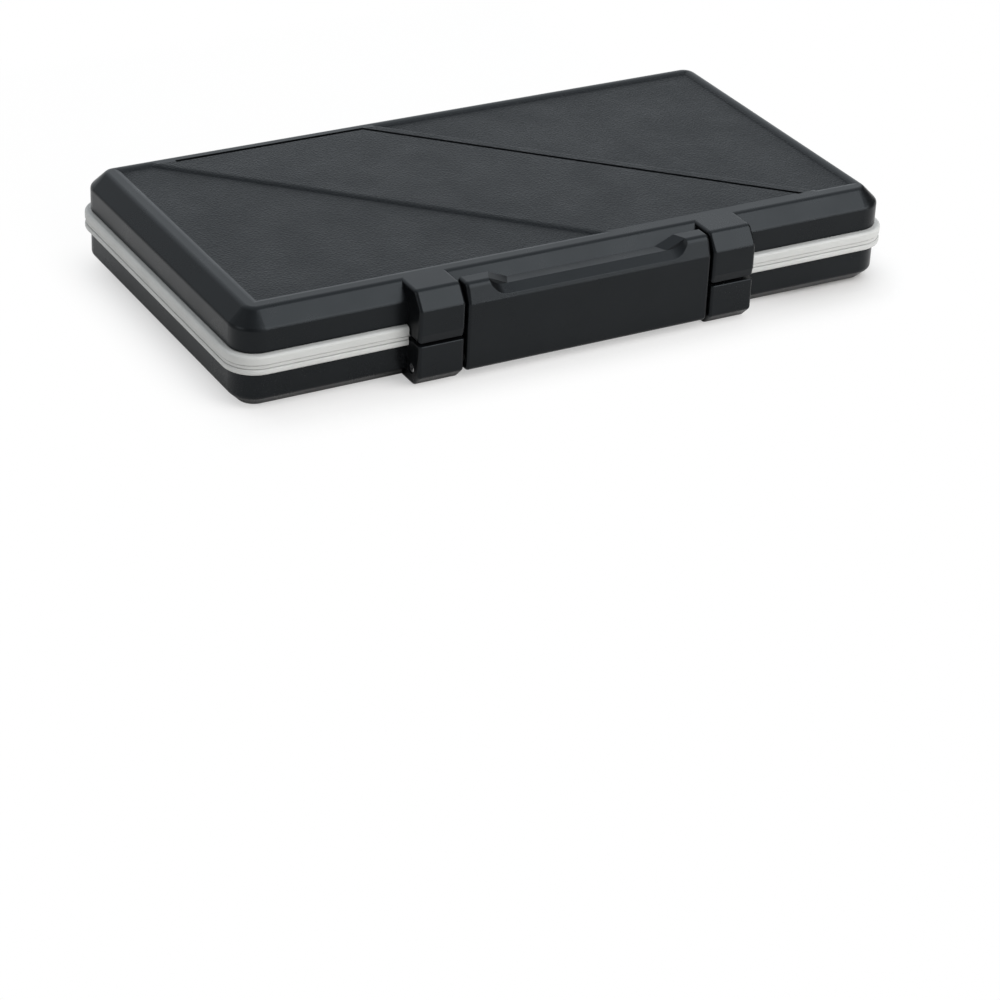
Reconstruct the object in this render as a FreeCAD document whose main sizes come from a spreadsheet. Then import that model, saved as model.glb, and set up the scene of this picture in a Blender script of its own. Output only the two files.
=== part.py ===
"""Hard memory card case: two shells, two soft card trays, a seal, a front latch and its pins.

Units are millimetres. X runs along the case, the latch faces -Y, the hinge is at +Y and
Z = 0 is the surface that the closed case lies on, with the origin at the middle of it.
"""
import FreeCAD, Part
import os
from collections import namedtuple
import Sketcher

Side = namedtuple("Side", "name sign")
SIDES = [Side("left", -1), Side("right", 1)]

DRIVING_SIZES = [
    ("body_length", 190, "shell length"),
    ("body_width", 99.2, "shell width, without lugs and hinge"),
    ("total_height", 26, "closed height"),
    ("corner_radius", 7, "upright corner radius of both shells"),
    ("shell_wall", 2, "side wall of both shells"),
    ("floor_thickness", 2, "floor of the base shell"),
    ("roof_thickness", 2.4, "roof of the lid shell"),
    ("band_below", 2.9, "base shell ends below the middle of the height"),
    ("band_above", 2.4, "lid shell starts above the middle of the height"),
    ("foot_chamfer", 3.1, "bevel round the underside"),
    ("lid_chamfer", 4.2, "bevel round the top"),
    ("edge_round", 1.2, "softened edge of the shells, lugs and latch"),
    ("top_round", 1.8, "softened edge between a flat top and its bevel"),
    ("rim_round", 0.4, "softened rim of the shells beside the band"),
    ("band_overhang", 1.6, "soft band proud of the shells"),
    ("base_lip", 1.65, "thickness of the base tray's lip"),
    ("seal_height", 1.1, "height of the seal above the base lip"),
    ("seal_inset", 0.3, "seal set back from the face of the band"),
    ("seal_width", 4.5, "seal bed inward of the shell's face"),
    ("seal_tongue", 0.5, "depth of the tongue that keeps the seal in the lip"),
    ("seal_tongue_width", 1.6, "width of that tongue"),
    ("closing_gap", 0.05, "gap between the seal and the lid tray's lip"),
    ("lip_round", 0.8, "outer rounding of the band"),
    ("lip_crease", 0.35, "small rounding that leaves the two creases in the band"),
    ("lug_end", 45.8, "outer face of a front lug from the end of the shells"),
    ("lug_width", 12.9, "width of a front lug"),
    ("lug_reach", 6.6, "lug and latch proud of the front wall"),
    ("lug_split", 1.2, "lower lug ends below the middle of the height"),
    ("lug_gap", 0.8, "gap between lower and upper lug"),
    ("lug_bevel_run", 3.3, "bevel of the upper lug, front to back"),
    ("lug_bevel_drop", 4.5, "bevel of the upper lug, downwards"),
    ("lug_foot_rise", 2.2, "bevel of the upper lug's foot, upwards"),
    ("lug_foot_back", 0.5, "bevel of the upper lug's foot, front to back"),
    ("lug_round", 0.9, "softened edge of the lugs and of the latch's ends"),
    ("lug_crisp", 0.3, "crisp top edge of a lower lug"),
    ("lug_clearance", 0.3, "soft band clear of the lugs and the hinge"),
    ("latch_side_gap", 0.75, "latch clear of the lugs"),
    ("latch_wall_gap", 0.5, "latch clear of the front wall"),
    ("latch_skin", 2, "front skin of the latch"),
    ("latch_cheek", 2.4, "end wall of the latch"),
    ("latch_foot", 2.2, "height of the latch's lower edge"),
    ("latch_foot_bevel", 0.8, "bevel of the latch's lower front edge"),
    ("latch_bevel_run", 1.8, "bevel of the latch's top, front to back"),
    ("latch_bevel_drop", 5.2, "bevel of the latch's top, downwards"),
    ("latch_drop", 0.1, "latch top below the lid top"),
    ("latch_core_low", 7.2, "height where the hollow of the latch starts"),
    ("grip_side", 8.35, "finger notch in the latch's top, from the latch's end at its rear"),
    ("grip_flare", 0.5, "widening of the notch towards the front, per millimetre"),
    ("grip_taper", 64, "slope of the notch's ends from upright, degrees"),
    ("grip_depth", 2.4, "depth of the notch below the latch's top"),
    ("grip_margin", 6, "outline of the notch drawn past the latch"),
    ("rail_width", 3.3, "flat floor of the notch, front to back"),
    ("scoop_side", 6.15, "scoop in front of the rail, from the latch's end"),
    ("scoop_round", 5, "rounding of the scoop's ends"),
    ("scoop_slope", 36, "slope of the scoop from level, degrees"),
    ("scoop_edge", 0.2, "softened lip of the scoop"),
    ("bead_rise", 1.2, "underside of the snap bead above the lid's rim"),
    ("bead_height", 1.4, "height of the snap bead"),
    ("bead_wall_gap", 0.3, "bead clear of the lid's front wall"),
    ("catch_reach", 0.8, "catch rib proud of the lid's front wall"),
    ("catch_gap", 0.2, "gap between catch rib and bead"),
    ("catch_end_gap", 0.6, "catch rib short of the latch's end walls"),
    ("pin_diameter", 2.4, "latch pins and hinge pins"),
    ("pin_fit", 0.04, "radial running clearance on a pin"),
    ("pin_seat", 0.01, "radial gap where a pin is held"),
    ("latch_pin_back", 4.1, "latch pin behind the lug's front face"),
    ("latch_pin_height", 4.4, "height of the latch pin"),
    ("latch_pin_bite", 6, "latch pin inside the latch"),
    ("latch_pin_sunk", 0.2, "latch pin end below the lug's side"),
    ("pin_mouth", 0.3, "bore mouth wider than the pin, in radius"),
    ("pin_tube_wall", 0.5, "wall of the rolled latch pin"),
    ("pin_slot", 0.4, "slot of the rolled latch pin"),
    ("pin_rim_round", 0.25, "round of the rolled latch pin's outer rims"),
    ("latch_barrel", 2, "radius of the latch round its pin"),
    ("hinge_offset", 3.2, "hinge axis behind the rear wall"),
    ("hinge_barrel", 3.4, "radius of the hinge knuckles"),
    ("hinge_end", 43, "middle of a hinge from the end of the shells"),
    ("lid_knuckle", 16, "width of a lid knuckle"),
    ("base_knuckle", 10, "width of a base knuckle"),
    ("knuckle_gap", 0.4, "side gap between knuckles"),
    ("hinge_pin_sunk", 0.4, "hinge pin end below the knuckle's side"),
    ("pin_end_chamfer", 0.3, "chamfer of the hinge pin's ends"),
    ("tray_clearance", 0.2, "tray clear of the shell's walls"),
    ("well_inset", 5.5, "well edge from the shell's face"),
    ("well_radius", 4, "corner radius of the wells"),
    ("base_tray_depth", 5.8, "base tray from the floor to its deck"),
    ("lid_tray_depth", 5.4, "lid tray from the roof to its deck"),
    ("card_width", 24, "full-size card"),
    ("card_length", 32, "full-size card"),
    ("card_thickness", 2.1, "full-size card"),
    ("small_width", 15, "small card"),
    ("small_length", 11, "small card"),
    ("small_thickness", 1, "small card"),
    ("card_clearance", 0.3, "pocket clear of a card, each side"),
    ("pocket_margin", 0.7, "pocket deeper than its card"),
    ("card_pitch", 28.5, "from one full-size pocket to the next"),
    ("card_row_pitch", 37, "from one row of full-size pockets to the next"),
    ("card_margin", 4.2, "front row of full-size pockets from the well's edge"),
    ("small_pitch", 19, "from one small pocket to the next"),
    ("small_margin", 2.5, "row of small pockets from the well's edge"),
    ("thumb_radius", 5, "thumb notch at a full-size pocket"),
    ("thumb_inset", 1.5, "middle of that notch inside the pocket"),
    ("small_thumb_radius", 3, "thumb notch at a small pocket"),
    ("small_thumb_inset", 1, "middle of that notch inside the pocket"),
    ("panel_rim", 3.5, "flat rim beside the sunk panels at the front and the left end"),
    ("panel_far_rim", 1.8, "flat rim beside the sunk panels at the rear and the right end"),
    ("panel_depth", 0.7, "depth of the sunk panels in the lid"),
    ("panel_taper", 55, "slope of a panel's edge from upright, degrees"),
    ("panel_lip", 2.6, "round of the upper edge of a panel's slopes"),
    ("panel_round", 0.8, "round of the lower edge of a panel's slopes"),
    ("panel_slant", 1.037, "run of the slanted edges lengthwise, per millimetre across"),
    ("left_panel_rear", 9.8, "rear edge of the left panel, from its end to the slanted edge"),
    ("right_panel_front", 11.95, "front edge of the right panel, from its end to the slanted edge"),
    ("groove_offset", 4.9, "slanted groove from the right panel's slanted edge, lengthwise"),
    ("groove_width", 1.2, "groove beside the raised band of the lid"),
    ("groove_depth", 0.9, "depth of that groove"),
    ("groove_back_rim", 2.7, "groove from the top bevel at the rear"),
    ("groove_end_gap", 16.3, "free end of the groove from the left panel's end"),
]

doc = FreeCAD.newDocument("memory_card_case")
sheet = doc.addObject("Spreadsheet::Sheet", "Sizes")
for row, (alias, value, note) in enumerate(DRIVING_SIZES, start=1):
    sheet.set(f"A{row}", note)
    sheet.set(f"B{row}", str(value))
    sheet.setAlias(f"B{row}", alias)
doc.recompute()

# Places worked out from the driving sizes
HALF_LENGTH = "(Sizes.body_length / 2)"
HALF_WIDTH = "(Sizes.body_width / 2)"
LUG_FRONT = f"(-{HALF_WIDTH} - Sizes.lug_reach)"
MIDDLE_HEIGHT = "(Sizes.total_height / 2)"
BASE_RIM = f"({MIDDLE_HEIGHT} - Sizes.band_below)"
LID_RIM = f"({MIDDLE_HEIGHT} + Sizes.band_above)"
LUG_OUTER = f"({HALF_LENGTH} - Sizes.lug_end)"
LUG_INNER = f"({LUG_OUTER} - Sizes.lug_width)"
LUG_TOP = f"({MIDDLE_HEIGHT} - Sizes.lug_split)"
UPPER_LUG_FOOT = f"({LUG_TOP} + Sizes.lug_gap)"
BASE_LIP_TOP = f"({BASE_RIM} + Sizes.base_lip)"
SEAL_TOP = f"({BASE_LIP_TOP} + Sizes.seal_height)"
LID_LIP_FOOT = f"({SEAL_TOP} + Sizes.closing_gap)"
ROOF_INSIDE = "(Sizes.total_height - Sizes.roof_thickness)"
BASE_DECK = "(Sizes.floor_thickness + Sizes.base_tray_depth)"
LID_DECK = f"({ROOF_INSIDE} - Sizes.lid_tray_depth)"
LATCH_HALF = f"({LUG_INNER} - Sizes.latch_side_gap)"
LATCH_BACK = f"(-{HALF_WIDTH} - Sizes.latch_wall_gap)"
LATCH_INSIDE = f"({LUG_FRONT} + Sizes.latch_skin)"
LATCH_TOP = "(Sizes.total_height - Sizes.latch_drop)"
RAIL_TOP = f"({LATCH_TOP} - Sizes.grip_depth)"
RAIL_FRONT = f"({LATCH_BACK} - Sizes.rail_width)"
BEAD_LOW = f"({LID_RIM} + Sizes.bead_rise)"
BEAD_TOP = f"({BEAD_LOW} + Sizes.bead_height)"
LATCH_PIN_Y = f"({LUG_FRONT} + Sizes.latch_pin_back)"
HINGE_CENTRE = f"({HALF_LENGTH} - Sizes.hinge_end)"
HINGE_Y = f"({HALF_WIDTH} + Sizes.hinge_offset)"
PIN_RADIUS = "(Sizes.pin_diameter / 2)"
HINGE_HALF = "(Sizes.lid_knuckle / 2 + Sizes.knuckle_gap + Sizes.base_knuckle)"
MID_WALL = "(Sizes.shell_wall / 2)"


def number(expression):
    """Return the value of an expression on the sheet's cells."""
    value = sheet.evalExpression(expression.replace("Sizes.", ""))
    return float(getattr(value, "Value", value))


def new_body(label):
    """Start a sub-part."""
    body = doc.addObject("PartDesign::Body", label)
    body.Label = label
    return body


def origin_plane(body, role):
    """Return one of a body's own origin planes."""
    return next(item for item in body.Origin.OriginFeatures if item.Role == role)


def new_sketch(body, name, role, lift):
    """Attach an empty sketch to an origin plane, moved along its normal by lift."""
    sketch = body.newObject("Sketcher::SketchObject", name)
    sketch.AttachmentSupport = (origin_plane(body, role), [""])
    sketch.MapMode = "FlatFace"
    sketch.setExpression("AttachmentOffset.Base.z", lift)
    return sketch


def pin_point(sketch, geometry, point, across, up):
    """Hold a point of a sketch at a pair of expressions from the sketch's origin."""
    for kind, expression in (("DistanceX", across), ("DistanceY", up)):
        constraint = Sketcher.Constraint(kind, -1, 1, geometry, point, number(expression))
        index = sketch.addConstraint(constraint)
        sketch.setExpression(f"Constraints[{index}]", expression)


def add_polygon(sketch, corners):
    """Draw a closed outline of straight sides through pairs of expressions."""
    places = [FreeCAD.Vector(number(across), number(up), 0) for across, up in corners]
    count = len(corners)
    first = sketch.GeometryCount
    for step in range(count):
        sketch.addGeometry(Part.LineSegment(places[step], places[(step + 1) % count]))
    for step in range(count):
        following = first + (step + 1) % count
        sketch.addConstraint(Sketcher.Constraint("Coincident", first + step, 2, following, 1))
    for step, (across, up) in enumerate(corners):
        pin_point(sketch, first + step, 1, across, up)


def polygon(body, name, role, corners, lift="0"):
    """Make a sketch of one closed outline of straight sides."""
    sketch = new_sketch(body, name, role, lift)
    add_polygon(sketch, corners)
    return sketch


def add_circle(sketch, across, up, radius):
    """Draw a circle whose middle and radius are expressions."""
    middle = FreeCAD.Vector(number(across), number(up), 0)
    index = sketch.addGeometry(Part.Circle(middle, FreeCAD.Vector(0, 0, 1), number(radius)))
    pin_point(sketch, index, 3, across, up)
    constraint = sketch.addConstraint(Sketcher.Constraint("Radius", index, number(radius)))
    sketch.setExpression(f"Constraints[{constraint}]", radius)


def circle(body, name, role, across, up, radius, lift="0"):
    """Make a sketch of one circle."""
    sketch = new_sketch(body, name, role, lift)
    add_circle(sketch, across, up, radius)
    return sketch


def add_rounded_rectangle(sketch, half_length, half_width, radius):
    """Draw a rectangle with round corners about the sketch's origin."""
    length, width, round_size = number(half_length), number(half_width), number(radius)
    corner_x, corner_y = length - round_size, width - round_size
    first = sketch.GeometryCount
    sides = [
        ((-corner_x, -width), (corner_x, -width)),
        ((length, -corner_y), (length, corner_y)),
        ((corner_x, width), (-corner_x, width)),
        ((-length, corner_y), (-length, -corner_y)),
    ]
    middles = [(corner_x, -corner_y), (corner_x, corner_y), (-corner_x, corner_y), (-corner_x, -corner_y)]
    quarter = FreeCAD.Units.Quantity("90 deg").getValueAs("rad").Value
    for step, (start, end) in enumerate(sides):
        sketch.addGeometry(Part.LineSegment(FreeCAD.Vector(*start, 0), FreeCAD.Vector(*end, 0)))
        arc_circle = Part.Circle(FreeCAD.Vector(*middles[step], 0), FreeCAD.Vector(0, 0, 1), round_size)
        sketch.addGeometry(Part.ArcOfCircle(arc_circle, (step - 1) * quarter, step * quarter))
    for step in range(8):
        following = first + (step + 1) % 8
        sketch.addConstraint(Sketcher.Constraint("Tangent", first + step, 2, following, 1))
    for step, direction in enumerate(("Horizontal", "Vertical", "Horizontal", "Vertical")):
        sketch.addConstraint(Sketcher.Constraint(direction, first + 2 * step))
    for step in range(3):
        sketch.addConstraint(Sketcher.Constraint("Equal", first + 2 * step + 1, first + 2 * step + 3))
    bound = [
        (Sketcher.Constraint("Radius", first + 1, round_size), radius),
        (Sketcher.Constraint("DistanceY", first, 1, -1, 1, width), half_width),
        (Sketcher.Constraint("DistanceX", -1, 1, first + 2, 1, length), half_length),
        (Sketcher.Constraint("DistanceY", -1, 1, first + 4, 1, width), half_width),
        (Sketcher.Constraint("DistanceX", first + 6, 1, -1, 1, length), half_length),
    ]
    for constraint, expression in bound:
        index = sketch.addConstraint(constraint)
        sketch.setExpression(f"Constraints[{index}]", expression)


def rounded_rectangle(body, name, half_length, half_width, radius, lift="0"):
    """Make a level sketch of one rectangle with round corners."""
    sketch = new_sketch(body, name, "XY_Plane", lift)
    add_rounded_rectangle(sketch, half_length, half_width, radius)
    return sketch


def extrude(body, kind, sketch, depth, reverse=False, both_sides=False):
    """Add a Pad or Pocket on a sketch, with its depth bound to an expression."""
    feature = body.newObject(f"PartDesign::{kind}", f"{sketch.Name}_{kind.lower()}")
    feature.Profile = sketch
    feature.setExpression("Length", depth)
    feature.Reversed = reverse
    if both_sides:
        feature.SideType = "Symmetric"
    sketch.Visibility = False
    doc.recompute()
    return feature


def pad(body, sketch, depth, **options):
    """Add material along the sketch's normal."""
    return extrude(body, "Pad", sketch, depth, **options)


def pocket(body, sketch, depth, **options):
    """Take material away, against the sketch's normal unless reversed."""
    return extrude(body, "Pocket", sketch, depth, **options)


def dress(body, kind, test, size):
    """Fillet or chamfer the edges of the body's last feature that pass a test."""
    base = body.Tip
    names = [f"Edge{index}" for index, edge in enumerate(base.Shape.Edges, start=1) if test(edge)]
    feature = body.newObject(f"PartDesign::{kind}", f"{base.Name}_{kind.lower()}")
    feature.Base = (base, names)
    feature.setExpression("Radius" if kind == "Fillet" else "Size", size)
    doc.recompute()
    return feature


def mirror(body, originals):
    """Repeat features on the other side of the plane X = 0."""
    feature = body.newObject("PartDesign::Mirrored", f"{body.Name}_mirrored")
    feature.Originals = originals
    feature.MirrorPlane = (origin_plane(body, "YZ_Plane"), [""])
    body.Tip = feature
    doc.recompute()
    return feature


def level(edge, height):
    """Say whether an edge lies level at a height."""
    box = edge.BoundBox
    return abs(box.ZMin - height) < 1e-4 and abs(box.ZMax - height) < 1e-4


def shrunk(base, inset):
    """Return an expression less an inset."""
    return f"({base} - {inset})"


def middle_of_bevel(offset):
    """Return how far the middle of a bevelled wall lies past the end of its bevel."""
    return f"({offset} + (sqrt(2) - 1) * {MID_WALL})"


def inner_bevel(outer, plate):
    """Return the inner bevel that keeps the wall's thickness behind an outer bevel."""
    return f"({outer} - {plate} + (sqrt(2) - 1) * Sizes.shell_wall)"


FLOOR_BEVEL = inner_bevel("Sizes.foot_chamfer", "Sizes.floor_thickness")
ROOF_BEVEL = inner_bevel("Sizes.lid_chamfer", "Sizes.roof_thickness")


def outer_outline(body, name, lift):
    """Sketch the outer outline of the shells."""
    return rounded_rectangle(body, name, HALF_LENGTH, HALF_WIDTH, "Sizes.corner_radius", lift)


def inset_outline(body, name, inset, lift):
    """Sketch the outline of the shells drawn in by an inset."""
    sketch = new_sketch(body, name, "XY_Plane", lift)
    add_inset_outline(sketch, inset)
    return sketch


def add_inset_outline(sketch, inset):
    """Draw the outline of the shells drawn in by an inset."""
    radius = shrunk("Sizes.corner_radius", inset)
    add_rounded_rectangle(sketch, shrunk(HALF_LENGTH, inset), shrunk(HALF_WIDTH, inset), radius)


def rectangle_corners(left, right, low, high):
    """Return the corners of an upright rectangle as pairs of expressions."""
    return [(left, low), (right, low), (right, high), (left, high)]


def hinge_knuckle(body, name, start, width, toward_wall):
    """Add one knuckle: a barrel round the hinge axis and the web that carries it.

    toward_wall is -1 where the web runs down to the base, and +1 where it runs up to the lid.
    """
    slant = "Sizes.hinge_barrel * sqrt(2) / 2"
    tangent_y = f"({HINGE_Y} + {slant})"
    tangent_z = f"({MIDDLE_HEIGHT} + {toward_wall} * {slant})"
    root_z = f"({tangent_z} + {toward_wall} * ({tangent_y} - {HALF_WIDTH}))"
    root_y = f"({HALF_WIDTH} - {MID_WALL})"
    rim = BASE_RIM if toward_wall < 0 else LID_RIM
    web = [
        (root_y, root_z),
        (HALF_WIDTH, root_z),
        (tangent_y, tangent_z),
        (HINGE_Y, MIDDLE_HEIGHT),
        (HALF_WIDTH, rim),
        (root_y, rim),
    ]
    web_pad = pad(body, polygon(body, f"{name}_web", "YZ_Plane", web, start), width)
    barrel = circle(body, f"{name}_barrel", "YZ_Plane", HINGE_Y, MIDDLE_HEIGHT, "Sizes.hinge_barrel", start)
    return [web_pad, pad(body, barrel, width)]


def hinge_bore(body, name, half_width, clearance):
    """Bore a body's knuckles for the hinge pin."""
    start = f"({HINGE_CENTRE} + {half_width})"
    radius = f"({PIN_RADIUS} + {clearance})"
    bore = circle(body, name, "YZ_Plane", HINGE_Y, MIDDLE_HEIGHT, radius, start)
    return pocket(body, bore, f"2 * {half_width}")


def make_base_shell():
    """Build the base shell with its lower lugs, pin bores and rear knuckles."""
    body = new_body("base_body")
    pad(body, outer_outline(body, "base_outline", "0"), BASE_RIM)
    dress(body, "Chamfer", lambda edge: level(edge, 0), "Sizes.foot_chamfer")
    bevel_top = number("Sizes.foot_chamfer")
    rim_height = number(BASE_RIM)
    dress(body, "Fillet", lambda edge: level(edge, 0) or level(edge, bevel_top), "Sizes.edge_round")
    dress(body, "Fillet", lambda edge: level(edge, rim_height), "Sizes.rim_round")
    inside = inset_outline(body, "base_inside", "Sizes.shell_wall", BASE_RIM)
    pocket(body, inside, f"{BASE_RIM} - Sizes.floor_thickness")
    floor_height = number("Sizes.floor_thickness")
    dress(body, "Chamfer", lambda edge: level(edge, floor_height), FLOOR_BEVEL)
    one_side = []
    inner_start = f"({HINGE_CENTRE} - {HINGE_HALF})"
    outer_start = f"({HINGE_CENTRE} + Sizes.lid_knuckle / 2 + Sizes.knuckle_gap)"
    for name, start in (("inner_knuckle", inner_start), ("outer_knuckle", outer_start)):
        one_side += hinge_knuckle(body, name, start, "Sizes.base_knuckle", -1)
    one_side.append(hinge_bore(body, "base_hinge_bore", HINGE_HALF, "Sizes.pin_seat"))
    mirror(body, one_side)
    return join("base_shell", [body] + [make_lower_lug(side) for side in SIDES])


def make_lower_lug(side):
    """Build one lower lug: the ear of the base that holds a latch pin."""
    name = f"lower_lug_{side.name}"
    body = new_body(name)
    bevel_middle = middle_of_bevel("Sizes.foot_chamfer")
    root = f"(-{HALF_WIDTH} + {MID_WALL})"
    outline = [
        (f"(-{HALF_WIDTH} + {bevel_middle})", "0"),
        (f"({LUG_FRONT} + Sizes.foot_chamfer)", "0"),
        (LUG_FRONT, "Sizes.foot_chamfer"),
        (LUG_FRONT, LUG_TOP),
        (f"(-{HALF_WIDTH})", LUG_TOP),
        (f"(-{HALF_WIDTH})", BASE_RIM),
        (root, BASE_RIM),
        (root, bevel_middle),
        (f"(-{HALF_WIDTH} + {bevel_middle})", MID_WALL),
    ]
    start = LUG_INNER if side.sign > 0 else f"(-{LUG_OUTER})"
    pad(body, polygon(body, f"{name}_profile", "YZ_Plane", outline, start), "Sizes.lug_width")
    dress(body, "Fillet", lambda edge: front_edge(edge, 0, "Sizes.foot_chamfer"), "Sizes.edge_round")
    top = number(LUG_TOP)
    dress(body, "Fillet", lambda edge: side_edge(edge) and not level(edge, top), "Sizes.lug_round")
    dress(body, "Fillet", lambda edge: in_front_of_wall(edge) and level(edge, top), "Sizes.lug_crisp")
    outer_face = f"{side.sign} * {LUG_OUTER}"
    pin_radius = f"({PIN_RADIUS} + Sizes.pin_seat)"
    mouth_radius = f"({PIN_RADIUS} + Sizes.pin_mouth)"
    for hole_name, radius, depth in (("bore", pin_radius, "Sizes.lug_width"),
                                     ("mouth", mouth_radius, "Sizes.latch_pin_sunk")):
        hole = circle(body, f"{name}_{hole_name}", "YZ_Plane", LATCH_PIN_Y, "Sizes.latch_pin_height",
                      radius, outer_face)
        pocket(body, hole, depth, reverse=side.sign < 0)
    return body


def front_edge(edge, *heights):
    """Say whether an edge runs along X on the front of a lug, at one of some heights."""
    box = edge.BoundBox
    along = box.XLength > number("Sizes.lug_width") / 2 and box.YLength < 1e-4
    levels = [number(str(height)) for height in heights]
    return along and in_front_of_wall(edge) and any(level(edge, height) for height in levels)


def in_front_of_wall(edge):
    """Say whether an edge reaches out in front of the shells' front wall."""
    return edge.BoundBox.YMin < number(f"-{HALF_WIDTH}") - 1e-3


def side_edge(edge):
    """Say whether an edge borders a side face of a lug, in front of the wall."""
    return edge.BoundBox.XLength < 1e-4 and in_front_of_wall(edge)


def make_upper_lug(side):
    """Build one upper lug: the ear of the lid beside the latch."""
    name = f"upper_lug_{side.name}"
    body = new_body(name)
    bevel_middle = middle_of_bevel("Sizes.lid_chamfer")
    root = f"(-{HALF_WIDTH} + {MID_WALL})"
    bevel_root = f"(-{HALF_WIDTH} + {bevel_middle})"
    top_root = f"({bevel_root} + Sizes.top_round)"
    bevel_foot = "(Sizes.total_height - Sizes.lug_bevel_drop)"
    outline = [
        (top_root, "Sizes.total_height"),
        (f"({LUG_FRONT} + Sizes.lug_bevel_run)", "Sizes.total_height"),
        (LUG_FRONT, bevel_foot),
        (LUG_FRONT, f"({UPPER_LUG_FOOT} + Sizes.lug_foot_rise)"),
        (f"({LUG_FRONT} + Sizes.lug_foot_back)", UPPER_LUG_FOOT),
        (f"(-{HALF_WIDTH})", UPPER_LUG_FOOT),
        (f"(-{HALF_WIDTH})", LID_RIM),
        (root, LID_RIM),
        (root, f"(Sizes.total_height - {bevel_middle})"),
        (bevel_root, f"(Sizes.total_height - {MID_WALL})"),
        (top_root, f"(Sizes.total_height - {MID_WALL})"),
    ]
    start = LUG_INNER if side.sign > 0 else f"(-{LUG_OUTER})"
    pad(body, polygon(body, f"{name}_profile", "YZ_Plane", outline, start), "Sizes.lug_width")
    dress(body, "Fillet", lambda edge: front_edge(edge, "Sizes.total_height"), "Sizes.top_round")
    dress(body, "Fillet", lambda edge: front_edge(edge, bevel_foot), "Sizes.edge_round")
    dress(body, "Fillet", side_edge, "Sizes.lug_round")
    return body


def join(label, bodies):
    """Fuse bodies that are moulded as one piece."""
    piece = doc.addObject("Part::MultiFuse", f"{label}_moulding")
    piece.Shapes = bodies
    piece.Refine = True
    piece.Label = label
    doc.recompute()
    return piece


def make_lid_shell():
    """Build the lid shell with its upper lugs, catch rib, rear knuckles and sunk top panels."""
    body = new_body("lid_body")
    pad(body, outer_outline(body, "lid_outline", LID_RIM), f"Sizes.total_height - {LID_RIM}")
    top = number("Sizes.total_height")
    dress(body, "Chamfer", lambda edge: level(edge, top), "Sizes.lid_chamfer")
    bevel_foot = top - number("Sizes.lid_chamfer")
    rim_height = number(LID_RIM)
    dress(body, "Fillet", lambda edge: level(edge, top), "Sizes.top_round")
    dress(body, "Fillet", lambda edge: level(edge, bevel_foot), "Sizes.edge_round")
    dress(body, "Fillet", lambda edge: level(edge, rim_height), "Sizes.rim_round")
    inside = inset_outline(body, "lid_inside", "Sizes.shell_wall", LID_RIM)
    pocket(body, inside, f"{ROOF_INSIDE} - {LID_RIM}", reverse=True)
    roof_height = number(ROOF_INSIDE)
    dress(body, "Chamfer", lambda edge: level(edge, roof_height), ROOF_BEVEL)
    knuckle_start = f"({HINGE_CENTRE} - Sizes.lid_knuckle / 2)"
    one_side = hinge_knuckle(body, "lid_knuckle", knuckle_start, "Sizes.lid_knuckle", 1)
    one_side.append(hinge_bore(body, "lid_hinge_bore", "(Sizes.lid_knuckle / 2)", "Sizes.pin_fit"))
    mirror(body, one_side)
    rib_front = f"(-{HALF_WIDTH} - Sizes.catch_reach)"
    rib_top = f"({BEAD_LOW} - Sizes.catch_gap)"
    rib_root = f"(-{HALF_WIDTH} + {MID_WALL})"
    rib = rectangle_corners(rib_front, rib_root, LID_RIM, rib_top)
    rib_half = f"({LATCH_HALF} - Sizes.latch_cheek - Sizes.catch_end_gap)"
    pad(body, polygon(body, "catch_rib", "YZ_Plane", rib), f"2 * {rib_half}", both_sides=True)
    sink_top_panels(body)
    return join("lid_shell", [body] + [make_upper_lug(side) for side in SIDES])


def sink_top_panels(body):
    """Sink the two slanted panels into the lid and cut the groove beside the band between them."""
    left_end = f"(Sizes.lid_chamfer + Sizes.panel_rim - {HALF_LENGTH})"
    right_end = f"({HALF_LENGTH} - Sizes.lid_chamfer - Sizes.panel_far_rim)"
    front = f"(Sizes.lid_chamfer + Sizes.panel_rim - {HALF_WIDTH})"
    rear = f"({HALF_WIDTH} - Sizes.lid_chamfer - Sizes.panel_far_rim)"
    left_line = f"({left_end} + Sizes.left_panel_rear + Sizes.panel_slant * {rear})"
    right_line = f"({right_end} - Sizes.right_panel_front + Sizes.panel_slant * {front})"
    left = [
        (left_end, front),
        (on_slant(left_line, front), front),
        (on_slant(left_line, rear), rear),
        (left_end, rear),
    ]
    right = [
        (right_end, rear),
        (on_slant(right_line, rear), rear),
        (on_slant(right_line, front), front),
        (right_end, front),
    ]
    for name, corners in (("left_panel", left), ("right_panel", right)):
        outline = polygon(body, name, "XY_Plane", corners, "Sizes.total_height")
        pocket(body, outline, "Sizes.panel_depth")
    lean_panel_walls(body)
    limits = [number(place) for place in (left_end, right_end, front, rear)]
    floor = "(Sizes.total_height - Sizes.panel_depth)"
    for height, softness in (("Sizes.total_height", "Sizes.panel_lip"), (floor, "Sizes.panel_round")):
        dress(body, "Fillet", lambda edge: panel_edge(edge, limits, height), softness)
    half = "Sizes.groove_width / 2"
    slant_half = f"({half} * sqrt(1 + Sizes.panel_slant ^ 2))"
    far_line = f"({right_line} - Sizes.groove_offset + {slant_half})"
    near_line = f"({right_line} - Sizes.groove_offset - {slant_half})"
    back = f"({HALF_WIDTH} - Sizes.lid_chamfer - Sizes.groove_back_rim + {half})"
    back_inside = f"({back} - Sizes.groove_width)"
    free_end = f"({left_end} + Sizes.groove_end_gap)"
    groove = [
        (free_end, back),
        (on_slant(far_line, back), back),
        (on_slant(far_line, front), front),
        (on_slant(near_line, front), front),
        (on_slant(near_line, back_inside), back_inside),
        (free_end, back_inside),
    ]
    groove_sketch = polygon(body, "band_groove", "XY_Plane", groove, "Sizes.total_height")
    pocket(body, groove_sketch, "Sizes.groove_depth")


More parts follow.
